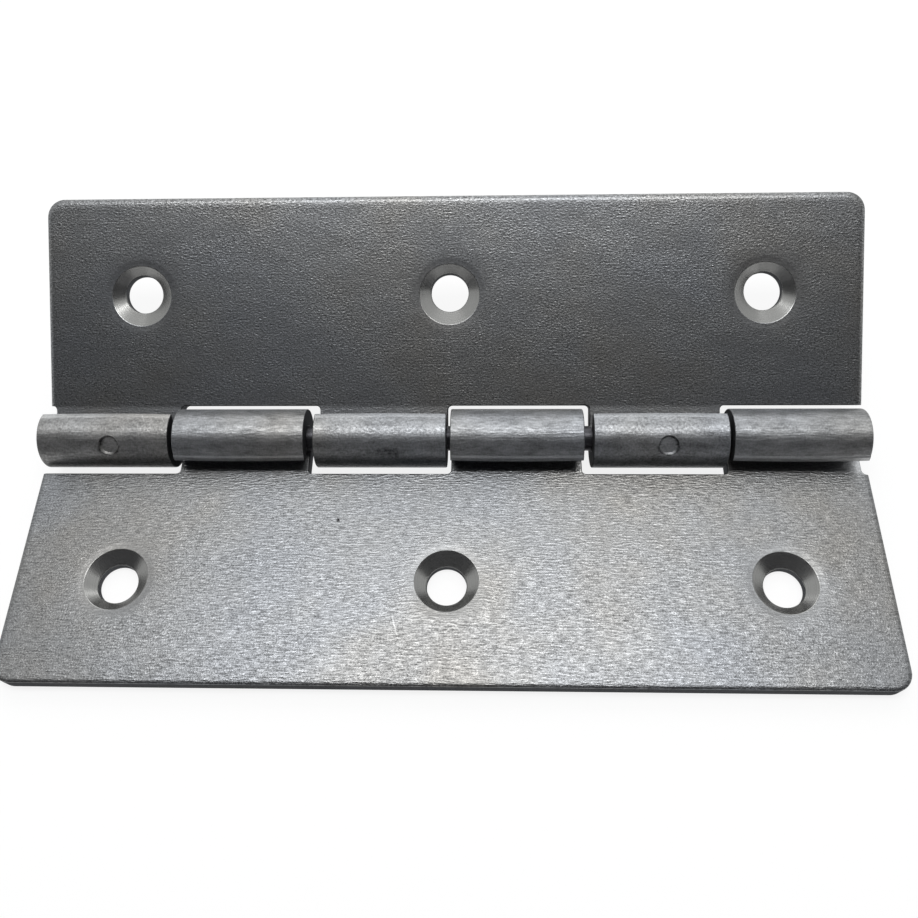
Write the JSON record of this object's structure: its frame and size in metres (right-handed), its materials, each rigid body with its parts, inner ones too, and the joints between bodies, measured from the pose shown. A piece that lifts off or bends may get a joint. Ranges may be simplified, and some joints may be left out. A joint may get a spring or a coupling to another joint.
{
  "type": "butt hinge",
  "caption": "Pressed-steel butt hinge: flat leaves with interleaved rolled knuckles turn on a staked pin, and countersunk screw holes fasten each leaf.",
  "frame": {"origin": "middle screw hole of the lower leaf, on that leaf's flat back face, which lies on the surface", "axes": "+X along the pin, +Y from the lower leaf's outer edge towards the pin, +Z out of the lower leaf's front"},
  "size_m": [0.1, 0.057, 0.017],
  "materials": {
    "leaf_steel": "bare rolled mild steel, dark grey, satin, with a grain along the pin",
    "pin_steel": "drawn steel wire, dull"
  },
  "bodies": {
    "fixed_leaf": {"lower_leaf": "leaf_steel"},
    "swinging_leaf": {"upper_leaf": "leaf_steel", "hinge_pin": "pin_steel"}
  },
  "joints": [
    {"name": "leaf_hinge", "type": "hinge", "parent": "fixed_leaf", "child": "swinging_leaf", "pos_m": [0, 0.0179, 0.00356], "axis": [1, 0, 0], "range_deg": [-30, 150]}
  ]
}
